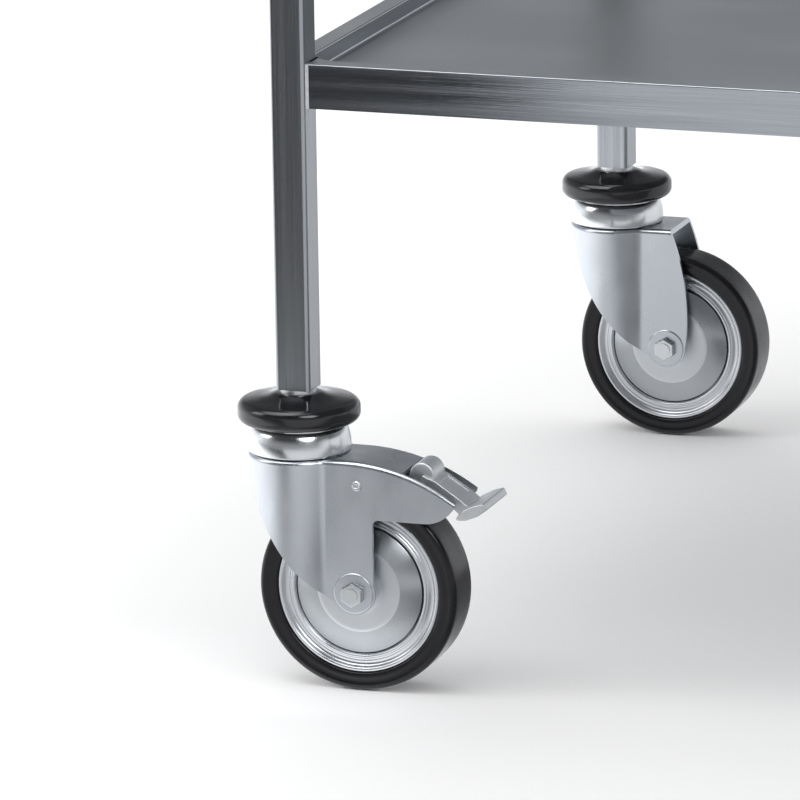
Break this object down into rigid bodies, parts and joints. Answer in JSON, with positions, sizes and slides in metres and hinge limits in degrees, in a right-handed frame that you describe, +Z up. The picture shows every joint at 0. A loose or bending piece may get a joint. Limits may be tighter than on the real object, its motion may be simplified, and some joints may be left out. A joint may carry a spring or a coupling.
{
  "type": "tray trolley",
  "caption": "Welded square-tube trolley with raised-rim tray shelves, push bars at both ends and swivel casters under disc bumpers.",
  "frame": {"origin": "middle of the whole trolley's footprint, on the floor under the wheels, with every caster trailing towards +X", "axes": "+X along the long side, the way the casters trail at rest; +Y across, from the front long side to the rear one; +Z up"},
  "size_m": [1.102, 0.7146, 0.96],
  "materials": {
    "stainless_tube": "ground",
    "stainless_sheet": "satin",
    "weld": "ground",
    "zinc_plated": "zinc plated",
    "bright_zinc": "bright zinc",
    "bumper_black": "gloss",
    "tyre_black": "satin",
    "pressed_rim": "zinc plated",
    "guard_grey": "satin",
    "cast_grey": "grey cast",
    "bearing_grey": "ground",
    "shoe_black": "matte"
  },
  "bodies": {
    "frame": {"leg_fl": "stainless_tube", "leg_fr": "stainless_tube", "leg_rl": "stainless_tube", "leg_rr": "stainless_tube", "push_bar_left": "stainless_tube", "push_bar_right": "stainless_tube", "tray_lower": "stainless_sheet", "tray_upper": "stainless_sheet", "ribs_lower": "stainless_sheet", "ribs_upper": "stainless_sheet", "weld_beads": "weld", "stem_fl": "zinc_plated", "stem_fr": "zinc_plated", "stem_rl": "zinc_plated", "stem_rr": "zinc_plated", "bumper_fl": "bumper_black", "bumper_fr": "bumper_black", "bumper_rl": "bumper_black", "bumper_rr": "bumper_black", "cup_fl": "bright_zinc", "cup_fr": "bright_zinc", "cup_rl": "bright_zinc", "cup_rr": "bright_zinc"},
    "caster_fl": {"fork_fl": "zinc_plated", "axle_fl": "zinc_plated", "guards_fl": "guard_grey", "brake_pin_fl": "zinc_plated"},
    "wheel_fl": {"core_fl": "pressed_rim", "bearing_fl": "bearing_grey", "tyre_fl": "tyre_black"},
    "pedal_fl": {"pedal_fl": "cast_grey", "brake_shoe_fl": "shoe_black"},
    "caster_fr": {"fork_fr": "zinc_plated", "axle_fr": "zinc_plated", "guards_fr": "guard_grey"},
    "wheel_fr": {"core_fr": "pressed_rim", "bearing_fr": "bearing_grey", "tyre_fr": "tyre_black"},
    "caster_rl": {"fork_rl": "zinc_plated", "axle_rl": "zinc_plated", "guards_rl": "guard_grey"},
    "wheel_rl": {"core_rl": "pressed_rim", "bearing_rl": "bearing_grey", "tyre_rl": "tyre_black"},
    "caster_rr": {"fork_rr": "zinc_plated", "axle_rr": "zinc_plated", "guards_rr": "guard_grey", "brake_pin_rr": "zinc_plated"},
    "wheel_rr": {"core_rr": "pressed_rim", "bearing_rr": "bearing_grey", "tyre_rr": "tyre_black"},
    "pedal_rr": {"pedal_rr": "cast_grey", "brake_shoe_rr": "shoe_black"}
  },
  "joints": [
    {"name": "swivel_fl", "type": "hinge", "parent": "frame", "child": "caster_fl", "pos_m": [-0.51377, -0.32, 0.144], "axis": [0, 0, 1], "continuous": true},
    {"name": "roll_fl", "type": "hinge", "parent": "caster_fl", "child": "wheel_fl", "pos_m": [-0.47278, -0.32, 0.0625], "axis": [0, 1, 0], "continuous": true},
    {"name": "brake_fl", "type": "hinge", "parent": "caster_fl", "child": "pedal_fl", "pos_m": [-0.46997, -0.32, 0.1293], "axis": [0, 1, 0], "range_deg": [0, 8]},
    {"name": "swivel_fr", "type": "hinge", "parent": "frame", "child": "caster_fr", "pos_m": [0.42623, -0.32, 0.144], "axis": [0, 0, 1], "continuous": true},
    {"name": "roll_fr", "type": "hinge", "parent": "caster_fr", "child": "wheel_fr", "pos_m": [0.46723, -0.32, 0.0625], "axis": [0, 1, 0], "continuous": true},
    {"name": "swivel_rl", "type": "hinge", "parent": "frame", "child": "caster_rl", "pos_m": [-0.51377, 0.32, 0.144], "axis": [0, 0, 1], "continuous": true},
    {"name": "roll_rl", "type": "hinge", "parent": "caster_rl", "child": "wheel_rl", "pos_m": [-0.47278, 0.32, 0.0625], "axis": [0, 1, 0], "continuous": true},
    {"name": "swivel_rr", "type": "hinge", "parent": "frame", "child": "caster_rr", "pos_m": [0.42623, 0.32, 0.144], "axis": [0, 0, 1], "continuous": true},
    {"name": "roll_rr", "type": "hinge", "parent": "caster_rr", "child": "wheel_rr", "pos_m": [0.46723, 0.32, 0.0625], "axis": [0, 1, 0], "continuous": true},
    {"name": "brake_rr", "type": "hinge", "parent": "caster_rr", "child": "pedal_rr", "pos_m": [0.47003, 0.32, 0.1293], "axis": [0, 1, 0], "range_deg": [0, 8]}
  ]
}
